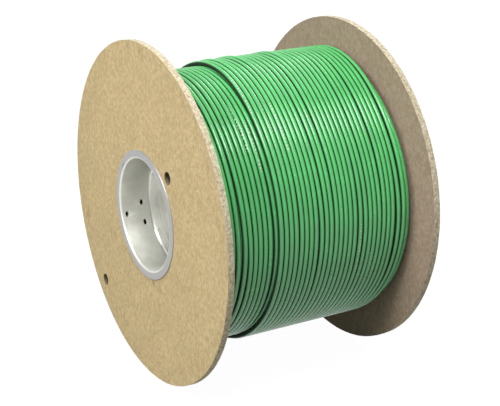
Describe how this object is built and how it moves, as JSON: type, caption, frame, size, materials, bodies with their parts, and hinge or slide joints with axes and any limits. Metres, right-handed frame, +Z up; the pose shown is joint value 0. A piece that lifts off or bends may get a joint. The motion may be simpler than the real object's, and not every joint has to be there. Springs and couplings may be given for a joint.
{
  "type": "wire spool",
  "caption": "Round spool of green insulated wire wound in even layers between two fibreboard flanges on a steel hub with an open arbor bore.",
  "frame": {"origin": "on the floor under the middle of the spool, which stands on its two rims", "axes": "+Z up, +Y along the arbor away from the board that the picture shows, +X across"},
  "size_m": [0.254, 0.172, 0.254],
  "materials": {
    "fibreboard": "matt",
    "pressed_steel": "satin zinc plate",
    "barrel_steel": "satin",
    "green_pvc": "semi-gloss",
    "copper": "bright cut"
  },
  "bodies": {
    "root": {"near_flange": "fibreboard", "far_flange": "fibreboard", "near_ferrule": "pressed_steel", "far_ferrule": "pressed_steel", "barrel": "barrel_steel", "wire_full_layers": "green_pvc", "wire_top_layer": "green_pvc", "wire_end_insulation": "green_pvc", "wire_end_conductor": "copper"}
  },
  "joints": []
}
